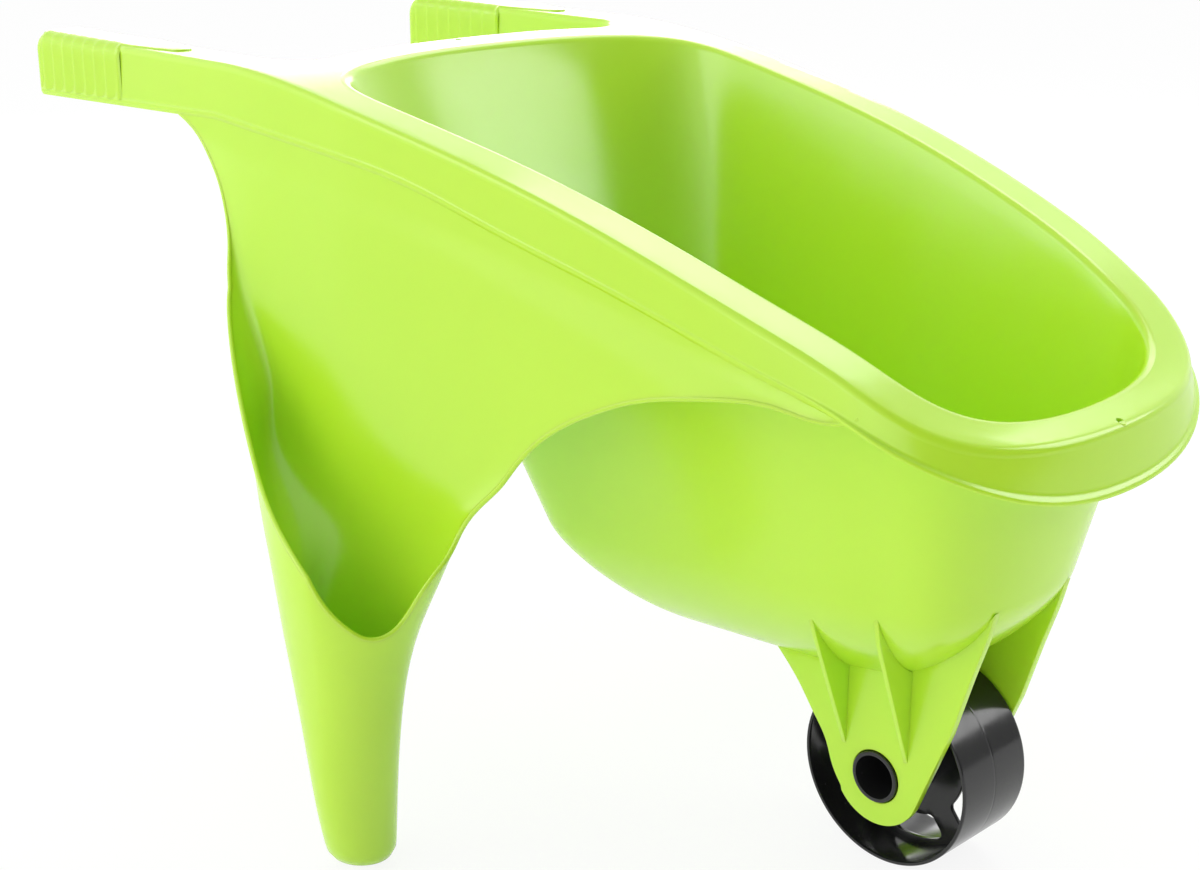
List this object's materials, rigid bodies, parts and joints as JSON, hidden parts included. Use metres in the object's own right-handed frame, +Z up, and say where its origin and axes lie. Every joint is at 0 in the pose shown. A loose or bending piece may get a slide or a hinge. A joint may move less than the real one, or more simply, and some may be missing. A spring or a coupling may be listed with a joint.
{
  "type": "toy wheelbarrow",
  "caption": "Child's toy wheelbarrow: deep tub with level side handles, scooped side panels that form two legs, and one wide wheel between fork ears.",
  "frame": {"origin": "on the ground under the middle of the overall length, on the mirror plane", "axes": "+X the direction of travel, from the handles to the nose; +Y the left side; +Z up; the wheel turns about Y"},
  "size_m": [0.7614, 0.5744, 0.4386],
  "materials": {
    "body_plastic": "glossy",
    "wheel_plastic": "glossy"
  },
  "bodies": {
    "body": {"barrow_body": "body_plastic"},
    "wheel": {"wheel": "wheel_plastic"}
  },
  "joints": [
    {"name": "wheel_spin", "type": "hinge", "parent": "body", "child": "wheel", "pos_m": [0.256, 0, 0.057], "axis": [0, 1, 0], "continuous": true}
  ]
}
